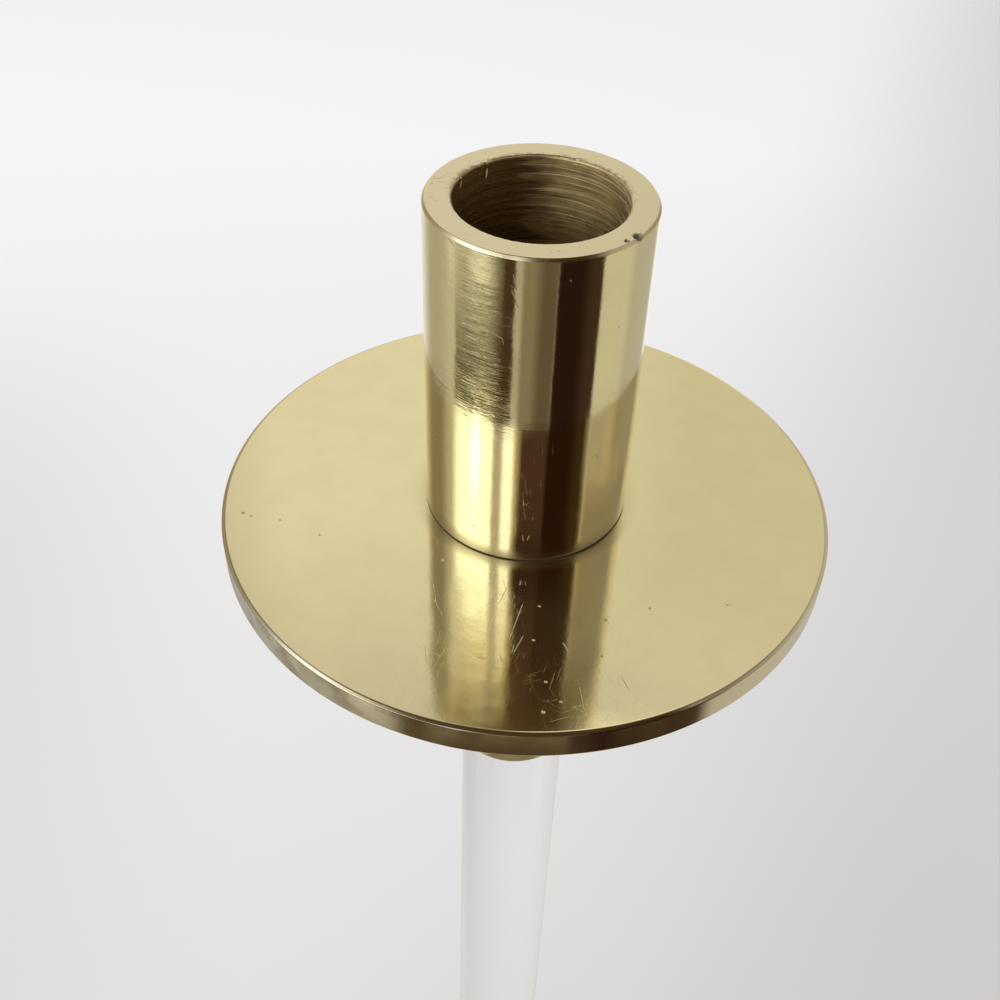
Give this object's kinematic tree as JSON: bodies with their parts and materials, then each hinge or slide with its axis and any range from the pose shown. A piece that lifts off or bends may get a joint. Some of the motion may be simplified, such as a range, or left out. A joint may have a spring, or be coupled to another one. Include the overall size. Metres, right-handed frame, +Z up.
{
  "type": "taper candle holder",
  "caption": "Turned brass cup for a taper candle on a round drip plate, carried by a clear rod between brass ferrules, on a round brass foot with a felt pad.",
  "frame": {"origin": "centre of the felt pad's underside, on the common axis of all pieces", "axes": "+Z up along the axis of the cup, the rod and the foot; X and Y are interchangeable, because every piece is turned"},
  "size_m": [0.112, 0.112, 0.3825],
  "materials": {
    "cup_brass": "polished, with fine brush marks",
    "plate_brass": "polished, with fine scratches",
    "ferrule_brass": "polished",
    "base_brass": "polished",
    "clear_rod": "clear, polished",
    "fastener_steel": "zinc plated",
    "felt": "wool felt"
  },
  "bodies": {
    "root": {"candle_cup": "cup_brass", "drip_plate": "plate_brass", "cup_stud": "fastener_steel", "upper_ferrule": "ferrule_brass", "clear_stem": "clear_rod", "lower_ferrule": "ferrule_brass", "base_plate": "base_brass", "base_screw": "fastener_steel", "felt_pad": "felt"}
  },
  "joints": []
}
